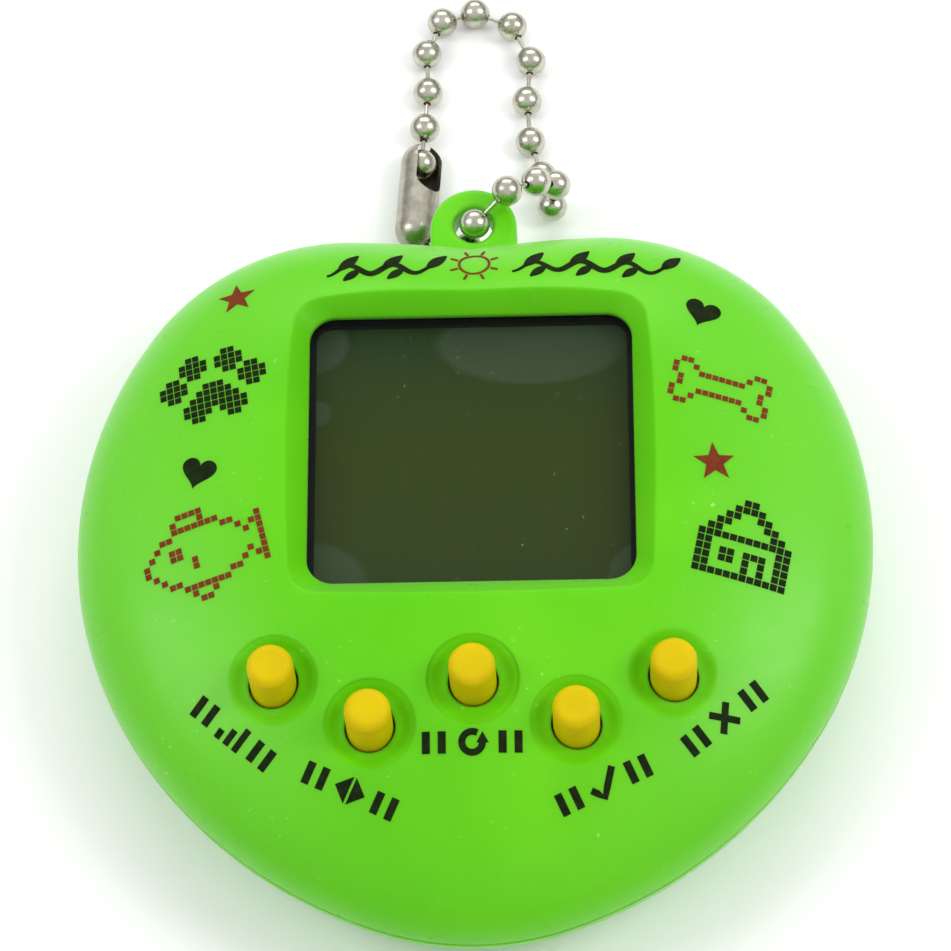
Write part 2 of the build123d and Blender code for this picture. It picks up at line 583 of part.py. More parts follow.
with BuildPart() as buzzer_ceramic:
    with Locations((0, BUZZER_Y, BUZZER_Z + BUZZER_THICK)):
        Cylinder(CERAMIC_R, BUZZER_THICK, align=BOTTOM)
buzzer_ceramic.part.label = "buzzer_ceramic"
export_step(buzzer_ceramic.part, "parts/buzzer_ceramic.step")

for name, reach in (("buzzer_lead_red", 3.6), ("buzzer_lead_black", 6.6)):
    foot = BUZZER_Z + (2 * BUZZER_THICK if reach < CERAMIC_R else BUZZER_THICK)
    with BuildPart() as lead:
        with BuildLine():
            FilletPolyline(
                (reach, BUZZER_Y, foot + 0.3),
                (reach + 3.0, BUZZER_Y + 1.5, foot + 0.6),
                (reach + 4.0, BUZZER_Y + 4.0, BOARD_Z - 1.6),
                (reach + 4.0, BUZZER_Y + 4.2, BOARD_Z),
                radius=0.6,
            )
        with BuildSketch(Plane((reach, BUZZER_Y, foot + 0.3), z_dir=(3.0, 1.5, 0.3))):
            Circle(0.3)
        sweep()
    lead.part.label = name
    export_step(lead.part, f"parts/{name}.step")


# ---- ball chain -----------------------------------------------------------
def joined_to(bead):
    """The beads that a bead is pinned to."""
    return [b if a == bead else a for a, b in PINS if bead in (a, b)]


for body, (beads, pins) in CHAIN_BODIES.items():
    with BuildPart() as bead_group:
        for bead in beads:
            centre = Vector(*BEADS[bead])
            ways = [(Vector(*BEADS[other]) - centre).normalized() for other in joined_to(bead)]
            # the spheres' poles and seam are kept away from the holes
            pole = ways[0].cross(ways[1] if len(ways) > 1 else Vector(0, 0, 1)).normalized()
            seam = ways[0].cross(pole)
            seam = seam if len(ways) < 2 or seam.dot(ways[1]) < 0 else seam * -1
            with Locations(Plane(centre, x_dir=seam, z_dir=pole)):
                Sphere(BEAD_R)
                Sphere(BEAD_R - BEAD_WALL, mode=Mode.SUBTRACT)
            for away in ways:
                with Locations(Plane(centre, z_dir=away)):
                    Cylinder(BEAD_HOLE_R, BEAD_R + 0.1, align=BOTTOM, mode=Mode.SUBTRACT)
    bead_group.part.label = f"chain_beads_{body}"
    export_step(bead_group.part, f"parts/chain_beads_{body}.step")

    with BuildPart() as pin_group:
        for first, second in pins:
            start = Vector(*BEADS[first])
            along = (Vector(*BEADS[second]) - start).normalized()
            end = Vector(*BEADS[second]) - along * PIN_HEAD_SET
            start = start + along * PIN_HEAD_SET
            with Locations(Plane(start, z_dir=along)):
                Cylinder(PIN_R, (end - start).length, align=BOTTOM)
            with Locations(Plane(start, z_dir=along), Plane(end, z_dir=along)):
                Sphere(PIN_HEAD_R)
    pin_group.part.label = f"chain_pins_{body}"
    export_step(pin_group.part, f"parts/chain_pins_{body}.step")

# sheet-metal clasp that snaps over the two end beads
clasp_low = Vector(*BEADS["K3"])
clasp_run = Vector(*BEADS["K4"]) - clasp_low
clasp_side = clasp_run.cross(Vector(0, 0, 1)).normalized()
clasp_axis = Axis(clasp_low, clasp_run)


def clasp_half(radius):
    """Half of the clasp's long section, a capsule about the line between its two beads."""
    with BuildSketch(Plane(clasp_low, x_dir=clasp_side, z_dir=(0, 0, 1))) as half:
        with BuildLine():
            Line((0, -radius), (0, clasp_run.length + radius))
            CenterArc((0, clasp_run.length), radius, 0, 90)
            Line((radius, clasp_run.length), (radius, 0))
            CenterArc((0, 0), radius, -90, 90)
        make_face()
    return half.sketch


with BuildPart() as chain_connector:
    add(clasp_half(CLASP_R))
    revolve(axis=clasp_axis)
    add(clasp_half(CLASP_R - CLASP_WALL))
    revolve(axis=clasp_axis, mode=Mode.SUBTRACT)
    # holes in the two ends, and the one by which the chain leaves sideways
    leaving = Vector(*BEADS["K2"]) - clasp_low
    for centre, away in ((clasp_low, -clasp_run), (clasp_low, leaving), (clasp_low + clasp_run, clasp_run)):
        with Locations(Plane(centre, z_dir=away)):
            Cylinder(CLASP_END_HOLE_R, CLASP_R + 0.2, align=BOTTOM, mode=Mode.SUBTRACT)
    # the mouth through which a bead goes in
    mouth_out = clasp_side.rotate(clasp_axis, -CLASP_MOUTH_TILT)
    mouth_at = clasp_low + clasp_run * CLASP_MOUTH_PLACE
    with BuildSketch(Plane(mouth_at, x_dir=clasp_run, z_dir=mouth_out)):
        SlotOverall(*CLASP_MOUTH)
    extrude(amount=CLASP_R + 0.2, mode=Mode.SUBTRACT)
chain_connector.part.label = "chain_connector"
export_step(chain_connector.part, "parts/chain_connector.step")
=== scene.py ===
"""Looks for a green virtual pet on a ball chain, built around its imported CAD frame."""

import json
import math

import bmesh
import bpy
from mathutils import Matrix, Vector
from mathutils.bvhtree import BVHTree


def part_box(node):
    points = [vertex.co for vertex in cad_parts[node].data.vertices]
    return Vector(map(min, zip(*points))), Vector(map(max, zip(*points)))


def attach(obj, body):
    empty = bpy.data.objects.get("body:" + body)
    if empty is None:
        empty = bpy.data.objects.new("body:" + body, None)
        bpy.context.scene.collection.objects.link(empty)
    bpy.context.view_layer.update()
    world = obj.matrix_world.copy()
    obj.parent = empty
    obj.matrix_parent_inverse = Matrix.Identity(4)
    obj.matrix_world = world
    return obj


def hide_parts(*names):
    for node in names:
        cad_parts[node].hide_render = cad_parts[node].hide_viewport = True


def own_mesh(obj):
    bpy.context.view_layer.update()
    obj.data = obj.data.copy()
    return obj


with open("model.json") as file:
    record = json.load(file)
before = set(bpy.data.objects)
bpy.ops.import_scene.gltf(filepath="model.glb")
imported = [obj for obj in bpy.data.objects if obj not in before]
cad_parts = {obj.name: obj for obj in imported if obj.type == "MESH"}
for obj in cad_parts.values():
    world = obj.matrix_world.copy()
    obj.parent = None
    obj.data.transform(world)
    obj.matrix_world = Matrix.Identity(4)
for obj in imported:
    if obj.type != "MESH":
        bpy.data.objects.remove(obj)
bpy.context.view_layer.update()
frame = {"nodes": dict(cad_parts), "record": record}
NODES = frame["nodes"]
MM = 0.001
SCENE = bpy.context.scene


# ---- camera ---------------------------------------------------------------
# The elevation is above the horizon, and the azimuth is the camera's turn to the right of the key side.
TARGET = Vector((0.24, 0.48, 12.0)) * MM
DISTANCE = 314 * MM
ELEVATION = math.radians(65.0)
AZIMUTH = math.radians(4.4)
ROLL = math.radians(5.05)
LENS_MM = 158.1
SENSOR_MM = 36.0
NEAR_CLIP = 10 * MM


def add_camera():
    """Looks down at the front from a little below and to the right, with a slight roll."""
    forward = Vector((-math.sin(AZIMUTH) * math.cos(ELEVATION),
                      math.cos(AZIMUTH) * math.cos(ELEVATION), -math.sin(ELEVATION)))
    right = Vector((math.cos(AZIMUTH), math.sin(AZIMUTH), 0))
    up = right.cross(forward)
    across = math.cos(ROLL) * right - math.sin(ROLL) * up
    upright = math.sin(ROLL) * right + math.cos(ROLL) * up
    data = bpy.data.cameras.new("camera")
    data.lens = LENS_MM
    data.sensor_width = SENSOR_MM
    data.clip_start = NEAR_CLIP
    camera = bpy.data.objects.new("camera", data)
    SCENE.collection.objects.link(camera)
    turn = Matrix((across, upright, -forward)).transposed().to_4x4()
    camera.matrix_world = Matrix.Translation(TARGET - DISTANCE * forward) @ turn
    SCENE.camera = camera


# ---- light, floor and world -----------------------------------------------
# name, place in metres, power in watts, width and height in metres
LIGHTS = (
    ("softbox_left", (-0.36, 0.0, 0.40), 0.68, 0.17, 0.28),
    ("softbox_right", (0.37, 0.0, 0.38), 1.0, 0.18, 0.28),
    ("softbox_top", (0.0, 0.55, 0.40), 1.3, 0.6, 0.3),
)
LIGHT_AIM = (0, 0, 0.01)

# the tent is grey at the horizon and below, and white from where a direction's upward part is TENT_WHITE_FROM
TENT_GREY = (0.32, 0.33, 0.34, 1)
TENT_WHITE = (1.0, 1.0, 1.0, 1)
TENT_WHITE_FROM = 0.75
TENT_STRENGTH = 0.80

FLOOR_SIZE = 6
FLOOR_TONES = ((0.3, (0.96, 0.96, 0.96)), (0.7, (0.98, 0.98, 0.98)))


def add_light(name, place, power, width, height):
    """A soft rectangular studio light turned towards the part."""
    data = bpy.data.lights.new(name, "AREA")
    data.shape = "RECTANGLE"
    data.size = width
    data.size_y = height
    data.energy = power
    light = bpy.data.objects.new(name, data)
    SCENE.collection.objects.link(light)
    light.location = place
    light.rotation_euler = (Vector(LIGHT_AIM) - Vector(place)).to_track_quat("-Z", "Y").to_euler()


def add_studio():
    """A pale floor under a bright overhead tent, with a softbox on each side and one beyond the chain."""
    world = bpy.data.worlds.new("studio")
    SCENE.world = world
    world.use_nodes = True
    nodes, links = world.node_tree.nodes, world.node_tree.links
    place = nodes.new("ShaderNodeTexCoord")
    split = nodes.new("ShaderNodeSeparateXYZ")
    ramp = nodes.new("ShaderNodeValToRGB")
    grey, white = ramp.color_ramp.elements
    grey.position, grey.color = 0.0, TENT_GREY
    white.position, white.color = TENT_WHITE_FROM, TENT_WHITE
    background = nodes["Background"]
    links.new(place.outputs["Generated"], split.inputs[0])
    links.new(split.outputs["Z"], ramp.inputs[0])
    links.new(ramp.outputs[0], background.inputs["Color"])
    background.inputs["Strength"].default_value = TENT_STRENGTH
    for light in LIGHTS:
        add_light(*light)

    bpy.ops.mesh.primitive_plane_add(size=FLOOR_SIZE)
    floor = bpy.context.object
    floor.name = "floor"
    floor.data.materials.append(floor_material())


# ---- materials ------------------------------------------------------------
class Shader:
    """A node material with one Principled shader, and short ways to add procedural detail."""

    def __init__(self, name, **sockets):
        self.material = bpy.data.materials.new(name)
        self.material.use_nodes = True
        self.nodes = self.material.node_tree.nodes
        self.links = self.material.node_tree.links
        self.shader = self.nodes["Principled BSDF"]
        for socket, value in sockets.items():
            self.set(socket.replace("_", " ").title().replace("Ior", "IOR"), value)

    def set(self, socket, value):
        if isinstance(value, tuple) and len(value) == 3 and socket.endswith("Color"):
            value = (*value, 1.0)
        self.shader.inputs[socket].default_value = value

    def node(self, kind, **values):
        made = self.nodes.new(kind)
        for key, value in values.items():
            setattr(made, key, value)
        return made

    def place(self):
        """Object coordinates, which are the frame's own metres."""
        return self.node("ShaderNodeTexCoord").outputs["Object"]

    def noise(self, size_mm, detail=3.0, distortion=0.0, stretch=(1, 1, 1)):
        """Noise whose blotches are about size_mm across, from 0 to 1."""
        mapping = self.node("ShaderNodeMapping")
        mapping.inputs["Scale"].default_value = stretch
        self.links.new(self.place(), mapping.inputs["Vector"])
        noise = self.node("ShaderNodeTexNoise")
        noise.inputs["Scale"].default_value = 1.0 / (size_mm * MM)
        noise.inputs["Detail"].default_value = detail
        noise.inputs["Distortion"].default_value = distortion
        self.links.new(mapping.outputs[0], noise.inputs["Vector"])
        return noise.outputs["Fac"]

    def ramp(self, value, stops):
        """A colour or grey ramp; each stop is (position, colour)."""
        made = self.node("ShaderNodeValToRGB")
        elements = made.color_ramp.elements
        while len(elements) < len(stops):
            elements.new(0.5)
        for element, (position, colour) in zip(elements, stops):
            element.position = position
            element.color = (*colour, 1) if isinstance(colour, tuple) else (colour, colour, colour, 1)
        self.links.new(value, made.inputs[0])
        return made.outputs[0]

    def mix(self, share, first, second):
        """A colour mixed from two others by a grey share."""
        made = self.node("ShaderNodeMix", data_type="RGBA")
        for socket, value in ((0, share), (6, first), (7, second)):
            if isinstance(value, tuple):
                made.inputs[socket].default_value = (*value, 1)
            elif isinstance(value, float):
                made.inputs[socket].default_value = value
            else:
                self.links.new(value, made.inputs[socket])
        return made.outputs[2]

    def math(self, operation, first, second):
        made = self.node("ShaderNodeMath", operation=operation)
        for socket, value in enumerate((first, second)):
            if isinstance(value, (int, float)):
                made.inputs[socket].default_value = value
            else:
                self.links.new(value, made.inputs[socket])
        return made.outputs[0]

    def drive(self, socket, value):
        self.links.new(value, self.shader.inputs[socket])

    def bump(self, height, depth_mm, strength=1.0, soft_edge_mm=0.0):
        """A fine relief; soft_edge_mm rounds the shading over sharp edges."""
        bump = self.node("ShaderNodeBump")
        if soft_edge_mm:
            bevel = self.node("ShaderNodeBevel")
            bevel.inputs["Radius"].default_value = soft_edge_mm * MM
            self.links.new(bevel.outputs[0], bump.inputs["Normal"])
        bump.inputs["Distance"].default_value = depth_mm * MM
        bump.inputs["Strength"].default_value = strength
        self.links.new(height, bump.inputs["Height"])
        self.drive("Normal", bump.outputs[0])


# middle and radii of the part of the case that the screen and keys fill, in millimetres
CASE_FILLED = ((0.0, -4.0), (27.0, 46.0))
CASE_SHEEN_FADE = 0.45    # the outer share of those radii over which the case fades to its painted sheen, a pale tone that stands in for reflected light
CASE_SPECK = (0.50, 0.80, 0.28)

BUTTON_TONES = ((0.3, (0.62, 0.46, 0.0)), (0.7, (0.68, 0.51, 0.0)))

# the display's tones up its height, as (share of the height, colour): a painted reflection, paler towards the
# bottom and darker towards the top
SCREEN_REFLECTION_TONES = (
    (0.0, (0.033, 0.056, 0.011)),
    (0.55, (0.034, 0.057, 0.005)),
    (0.85, (0.026, 0.054, 0.010)),
    (1.0, (0.019, 0.050, 0.015)),
)
# places and radii of the patches where the films have stuck together, in millimetres
SCREEN_PATCHES = (
    ((4.6, 11.2), (7.6, 3.6)),
    ((-12.2, 11.4), (3.0, 2.6)),
    ((-12.4, -8.6), (4.8, 3.7)),
    ((12.6, -8.8), (2.8, 3.4)),
    ((-11.6, 5.6), (1.0, 1.1)),
)
PATCH_TONE = (0.062, 0.094, 0.052)
PATCH_SHARE = 0.6
DUST_TONE = (0.24, 0.28, 0.18)
DUST_SHARE = 0.6


def floor_material():
    """Matt white paper."""
    made = Shader("floor_paper", roughness=0.9)
    made.drive("Base Color", made.ramp(made.noise(90), FLOOR_TONES))
    return made.material


def case_plastic(name, deep, clear, painted_sheen):
    """Glossy translucent moulded plastic with flow marks and pale specks.

    It is painted paler towards the sides: a painted sheen for light that the sides reflect and let through.
    """
    made = Shader(name, ior=1.45, subsurface_weight=0.35, subsurface_scale=0.002)
    made.set("Specular IOR Level", 0.26)
    made.set("Subsurface Radius", (0.6, 1.0, 0.1))
    made.set("Sheen Weight", 0.10)
    made.set("Sheen Roughness", 0.45)
    cloud = made.noise(16, detail=2, distortion=0.6)
    body = made.ramp(cloud, [(0.3, deep), (0.75, clear)])
    # painted sheen: outside the filled middle a paler tone stands in for reflected light
    body = made.mix(patch(made, *CASE_FILLED, edge=CASE_SHEEN_FADE), painted_sheen, body)
    specks = made.ramp(made.noise(0.55, detail=4), [(0.67, 0.0), (0.76, 1.0)])
    share = made.math("MULTIPLY", specks, made.ramp(made.noise(5, detail=3), [(0.46, 0.0), (0.66, 0.6)]))
    made.drive("Base Color", made.mix(share, body, CASE_SPECK))
    made.drive("Roughness", made.ramp(made.noise(2.2, detail=5), [(0.3, 0.27), (0.75, 0.36)]))
    made.bump(made.noise(0.25, detail=6), 0.005, 0.22, soft_edge_mm=0.35)
    return made.material


def button_plastic():
    """Satin moulded plastic, a little translucent."""
    made = Shader("button_yellow", ior=1.45, subsurface_weight=0.15, subsurface_scale=0.001)
    made.set("Specular IOR Level", 0.14)
    made.set("Subsurface Radius", (1.0, 0.7, 0.05))
    made.drive("Base Color", made.ramp(made.noise(2.5), BUTTON_TONES))
    made.drive("Roughness", made.ramp(made.noise(0.6, detail=4), [(0.3, 0.48), (0.7, 0.62)]))
    made.bump(made.noise(0.12, detail=4), 0.006, 0.4)
    return made.material


def nickel(name, tone, dull, roughness, grain=(1, 1, 1)):
    """Plated metal with handling marks; dull is the tone of its worn patches."""
    made = Shader(name, metallic=1.0)
    wear = made.noise(0.9, detail=5, distortion=0.4)
    made.drive("Base Color", made.ramp(wear, [(0.35, dull), (0.6, tone)]))
    low, high = roughness
    made.drive("Roughness", made.ramp(made.noise(0.35, detail=5, stretch=grain), [(0.35, low), (0.7, high)]))
    made.bump(made.noise(0.22, detail=5, stretch=grain), 0.010, 0.35)
    return made.material


def plain(name, first, second, roughness, size_mm=1.0, depth_mm=0.01, metallic=0.0, **sockets):
    """A surface whose colour wanders between two tones, with a fine bump."""
    made = Shader(name, metallic=metallic, **sockets)
    made.drive("Base Color", made.ramp(made.noise(size_mm), [(0.3, first), (0.7, second)]))
    made.drive("Roughness", made.ramp(made.noise(size_mm * 0.5, detail=4),
                                      [(0.3, roughness - 0.06), (0.7, roughness + 0.06)]))
    made.bump(made.noise(size_mm * 0.3, detail=4), depth_mm, 0.5)
    return made.material


def see_through(name, colour, alpha, roughness):
    """A clear sheet, with alpha as its share of cover."""
    made = Shader(name, base_color=colour, alpha=alpha, roughness=roughness, ior=1.49)
    made.bump(made.noise(6, detail=2), 0.004, 0.2)
    made.material.surface_render_method = "BLENDED"
    return made.material


def patch(made, centre, radii, edge=0.12):
    """1 inside an ellipse seen from the front and 0 outside; edge is the soft share of its radii."""
    mapping = made.node("ShaderNodeMapping")
    mapping.inputs["Location"].default_value = tuple(-c / r for c, r in zip((*centre, 0), (*radii, 1)))
    mapping.inputs["Scale"].default_value = (1 / (radii[0] * MM), 1 / (radii[1] * MM), 0)
    made.links.new(made.place(), mapping.inputs["Vector"])
    length = made.node("ShaderNodeVectorMath", operation="LENGTH")
    made.links.new(mapping.outputs[0], length.inputs[0])
    return made.ramp(length.outputs["Value"], [(1 - edge, 1.0), (1.0, 0.0)])


def lcd_film():
    """The display's front polariser: dark olive, with a painted reflection that leaves it paler towards the
    bottom and darker and greener at the top, and with paler stuck patches and dust.
    """
    low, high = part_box("lcd_front_polarizer")
    made = Shader("polarizer_olive", roughness=0.3, ior=1.45)
    made.set("Specular IOR Level", 0.12)
    split = made.node("ShaderNodeSeparateXYZ")
    made.links.new(made.place(), split.inputs[0])
    rise = made.node("ShaderNodeMapRange")
    rise.inputs["From Min"].default_value = low.y
    rise.inputs["From Max"].default_value = high.y
    made.links.new(split.outputs["Y"], rise.inputs["Value"])
    # a painted reflection, paler towards the bottom and darker towards the top
    body = made.ramp(rise.outputs[0], SCREEN_REFLECTION_TONES)
    for centre, radii in SCREEN_PATCHES:
        body = made.mix(made.math("MULTIPLY", patch(made, centre, radii), PATCH_SHARE), body, PATCH_TONE)
    dust = made.ramp(made.noise(0.45, detail=2), [(0.71, 0.0), (0.74, 1.0)])
    body = made.mix(made.math("MULTIPLY", dust, DUST_SHARE), body, DUST_TONE)
    made.drive("Base Color", body)
    made.bump(made.noise(0.2, detail=3), 0.003, 0.3)
    return made.material


# the maker of each slot's material
FINISHES = {
    # the case's painted sheen tone, paler than its body, stands in for light reflected off its sides
    "case_green": lambda: case_plastic("case_green", deep=(0.105, 0.56, 0.0), clear=(0.145, 0.62, 0.004),
                                       painted_sheen=(0.150, 0.60, 0.030)),
    "button_yellow": button_plastic,
    "lens_clear": lambda: see_through("lens_clear", (0.02, 0.03, 0.02), 0.08, 0.04),
    # the gasket's black line round the screen is partly the real black gasket and partly painted shade inside
    # the window's wall
    "gasket_black": lambda: plain("gasket_black", (0.004, 0.005, 0.004), (0.008, 0.008, 0.008), 0.7,
                                  specular_ior_level=0.15),
    "polarizer_film": lcd_film,
    "lcd_glass": lambda: see_through("lcd_glass", (0.55, 0.65, 0.58), 0.3, 0.08),
    "reflector_film": lambda: plain("reflector_film", (0.10, 0.13, 0.05), (0.13, 0.16, 0.07), 0.4, 0.3),
    "grey_foam": lambda: plain("grey_foam", (0.07, 0.07, 0.075), (0.12, 0.12, 0.125), 0.9, 0.4, 0.08),
    "zebra_rubber": lambda: plain("zebra_rubber", (0.55, 0.20, 0.24), (0.62, 0.27, 0.30), 0.6, 0.3),
    "board_resin": lambda: plain("board_resin", (0.005, 0.09, 0.020), (0.010, 0.13, 0.030), 0.35, 1.5),
    "epoxy_black": lambda: plain("epoxy_black", (0.008, 0.008, 0.009), (0.016, 0.016, 0.017), 0.3, 1.2),
    "tan_ceramic": lambda: plain("tan_ceramic", (0.42, 0.30, 0.15), (0.50, 0.37, 0.20), 0.55, 0.4),
    "mat_silicone": lambda: plain("mat_silicone", (0.50, 0.50, 0.46), (0.60, 0.60, 0.55), 0.5, 1.0,
                                  subsurface_weight=0.2, subsurface_scale=0.001),
    "carbon_black": lambda: plain("carbon_black", (0.010, 0.010, 0.010), (0.022, 0.022, 0.022), 0.8, 0.3),
    "plated_steel": lambda: nickel("plated_steel", (0.66, 0.66, 0.65), (0.50, 0.50, 0.50), (0.22, 0.38)),
    "buzzer_brass": lambda: nickel("buzzer_brass", (0.72, 0.50, 0.20), (0.55, 0.38, 0.15), (0.25, 0.40)),
    "lead_red": lambda: plain("lead_red", (0.40, 0.010, 0.008), (0.48, 0.016, 0.012), 0.4, 0.5),
    "lead_black": lambda: plain("lead_black", (0.010, 0.010, 0.010), (0.020, 0.020, 0.020), 0.4, 0.5),
    "bead_nickel": lambda: nickel("bead_nickel", (0.60, 0.59, 0.49), (0.46, 0.45, 0.36), (0.20, 0.30)),
    "clasp_nickel": lambda: nickel("clasp_nickel", (0.50, 0.48, 0.40), (0.38, 0.36, 0.29), (0.26, 0.42),
                                   grain=(4, 0.6, 4)),
    "ink_black": lambda: plain("ink_black", (0.006, 0.012, 0.003), (0.014, 0.026, 0.006), 0.6, 0.5, 0.004,
                               specular_ior_level=0.04),
    "ink_red": lambda: plain("ink_red", (0.15, 0.028, 0.010), (0.20, 0.045, 0.014), 0.6, 0.5, 0.004,
                             specular_ior_level=0.04),
}
MATERIALS = {slot: make() for slot, make in FINISHES.items()}


def dress_frame():
    """Gives every CAD node the finish of its slot."""
    for row in frame["record"]["subparts"]:
        node = NODES[row["node"]]
        node.data.materials.clear()
        node.data.materials.append(MATERIALS[row["material_slot"]])


def add_piece(mesh, name, slot):
    """Turns a finished bmesh into a piece that rides on the case."""
    bmesh.ops.recalc_face_normals(mesh, faces=mesh.faces)
    data = bpy.data.meshes.new(name)
    mesh.to_mesh(data)
    mesh.free()
    data.materials.append(MATERIALS[slot])
    piece = bpy.data.objects.new(name, data)
    SCENE.collection.objects.link(piece)
    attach(piece, "root")
    return piece


# ---- return domes ---------------------------------------------------------
# half of the dome's section, as shares of its base radius and of its rise
DOME_OUTSIDE = ((1.0, 0.0), (0.985, 0.06), (0.93, 0.22), (0.84, 0.52),
                (0.74, 0.84), (0.66, 0.96), (0.58, 1.0))
DOME_INSIDE = ((0.50, 0.70), (0.55, 0.64), (0.64, 0.40), (0.72, 0.16), (0.79, 0.0))
DOME_STEPS = 48


def return_dome(key):
    """A thin rubber cone with a flat crown, built in place of the CAD node's dome."""
    node = f"return_dome_{key}"
    low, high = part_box(node)
    middle = (low + high) / 2
    radius, rise = (high.x - low.x) / 2, high.z - low.z
    mesh = bmesh.new()
    turns = [math.tau * k / DOME_STEPS for k in range(DOME_STEPS)]
    rings = []
    for share, height in (*DOME_OUTSIDE, *DOME_INSIDE):
        rings.append([mesh.verts.new((middle.x + radius * share * math.cos(t),
                                      middle.y + radius * share * math.sin(t),
                                      low.z + rise * height)) for t in turns])
    top, under = len(DOME_OUTSIDE) - 1, len(DOME_OUTSIDE)    # the rings that the flat crown closes
    pairs = [(k, k + 1) for k in range(len(rings) - 1) if k != top] + [(len(rings) - 1, 0)]
    for first, second in pairs:
        for k in range(DOME_STEPS):
            after = (k + 1) % DOME_STEPS
            mesh.faces.new((rings[first][k], rings[first][after], rings[second][after], rings[second][k]))
    mesh.faces.new(rings[top])
    mesh.faces.new(reversed(rings[under]))
    for face in mesh.faces:
        face.smooth = len(face.verts) == 4
    piece = add_piece(mesh, f"rubber_dome_{key}", "mat_silicone")
    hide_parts(node)
    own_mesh(piece)


# ---- printed decoration ---------------------------------------------------
INK_RISE = 0.035 * MM
INK_SINK = 0.05 * MM
ABOVE_CASE = 50 * MM    # where the rays that look for the dome start
SURFACE = BVHTree.FromObject(NODES["front_shell"], bpy.context.evaluated_depsgraph_get())


def on_dome(x, y):
    """The point of the front shell under (x, y) millimetres, and its normal."""
    place, normal, *_ = SURFACE.ray_cast(Vector((x * MM, y * MM, ABOVE_CASE)), Vector((0, 0, -1)))
    return place, normal


def ink(name, slot, shapes, place, turn=0.0):
    """Prints flat shapes on the dome at a place, turned by some degrees.

    Each shape is a ring of points in millimetres, measured from the place.
    """
    mesh = bmesh.new()
    swing = Matrix.Rotation(math.radians(turn), 2)
    for ring in shapes:
        middle = (sum(p[0] for p in ring) / len(ring), sum(p[1] for p in ring) / len(ring))
        tops, bottoms = [], []
        for point in (middle, *ring):
            flat = swing @ Vector(point)
            spot, normal = on_dome(flat.x + place[0], flat.y + place[1])
            tops.append(mesh.verts.new(spot + normal * INK_RISE))
            bottoms.append(mesh.verts.new(spot - normal * INK_SINK))
        count = len(ring)
        for k in range(1, count + 1):
            after = k % count + 1
            mesh.faces.new((tops[0], tops[k], tops[after]))
            mesh.faces.new((bottoms[0], bottoms[after], bottoms[k]))
            mesh.faces.new((tops[k], bottoms[k], bottoms[after], tops[after]))
    add_piece(mesh, name, slot)


def dots(rows, width, gap=0.14):
    """Small squares, one for each # of a drawing in rows, scaled to a width."""
    columns = max(len(row) for row in rows)
    cell = width / columns
    half = cell * (1 - gap) / 2
    squares = []
    for down, row in enumerate(rows):
        for column, mark in enumerate(row):
            if mark == "#":
                x = (column + 0.5 - columns / 2) * cell
                y = (len(rows) / 2 - down - 0.5) * cell
                squares.append([(x - half, y - half), (x + half, y - half),
                                (x + half, y + half), (x - half, y + half)])
    return squares


def stroke(points, widths):
    """Short four-sided pieces that follow a line, as wide as widths says at each point."""
    edges = []
    for k, (x, y) in enumerate(points):
        before = points[max(k - 1, 0)]
        after = points[min(k + 1, len(points) - 1)]
        run = Vector((after[0] - before[0], after[1] - before[1])).normalized()
        half = widths[k] / 2
        edges.append(((x - run.y * half, y + run.x * half), (x + run.y * half, y - run.x * half)))
    return [[a[0], a[1], b[1], b[0]] for a, b in zip(edges[:-1], edges[1:])]


LINE_PIECE = 0.6    # the longest piece of a line, in millimetres, so that it follows the dome


def line(*points, width):
    """A straight-sided stroke through a few points, cut into short pieces."""
    fine = []
    for (x0, y0), (x1, y1) in zip(points[:-1], points[1:]):
        steps = max(2, int(math.hypot(x1 - x0, y1 - y0) / LINE_PIECE))
        fine += [(x0 + (x1 - x0) * k / steps, y0 + (y1 - y0) * k / steps) for k in range(steps)]
    fine.append(points[-1])
    return stroke(fine, [width] * len(fine))


def arc(radius, start, end, width, steps=24):
    """A stroke along part of a circle, between two angles in degrees."""
    turns = [math.radians(start + (end - start) * k / steps) for k in range(steps + 1)]
    return stroke([(radius * math.cos(t), radius * math.sin(t)) for t in turns], [width] * (steps + 1))


STAR_WAIST = 0.42    # of its radius


def star(radius):
    """A five-pointed star as ten points."""
    reach = (radius, radius * STAR_WAIST)
    turns = [math.radians(90 + 36 * k) for k in range(10)]
    return [(reach[k % 2] * math.cos(t), reach[k % 2] * math.sin(t)) for k, t in enumerate(turns)]


HEART_STEPS = 36


def heart(width):
    """The usual heart curve, 32 units wide, as a ring of points."""
    ring = []
    for k in range(HEART_STEPS):
        t = math.tau * k / HEART_STEPS
        x = 16 * math.sin(t) ** 3
        y = 13 * math.cos(t) - 5 * math.cos(2 * t) - 2 * math.cos(3 * t) - math.cos(4 * t)
        ring.append((x * width / 32, y * width / 32))
    return ring


LEAF_STEPS = 12
LEAF_TIP = 0.14      # width of its ends, in millimetres
LEAF_BELLY = 0.36    # width added in its middle, as a share of its length
LEAF_ABOVE = (0.62, 48)     # length as a share of the flourish's height, and lean in degrees
LEAF_BELOW = (0.46, 222)
STEM_WAVE = 0.14     # of the flourish's height
STEM_TIP = 0.20      # width of its ends, in millimetres
STEM_BELLY = 0.36    # width added in its middle, in millimetres


def leaf(x, y, length, turn):
    """A slanted leaf as a short thick stroke that tapers at both ends."""
    t = math.radians(turn)
    points, widths = [], []
    for k in range(LEAF_STEPS + 1):
        along = length * k / LEAF_STEPS
        points.append((x + along * math.cos(t), y + along * math.sin(t)))
        widths.append(LEAF_TIP + LEAF_BELLY * length * math.sin(math.pi * k / LEAF_STEPS))
    return stroke(points, widths)


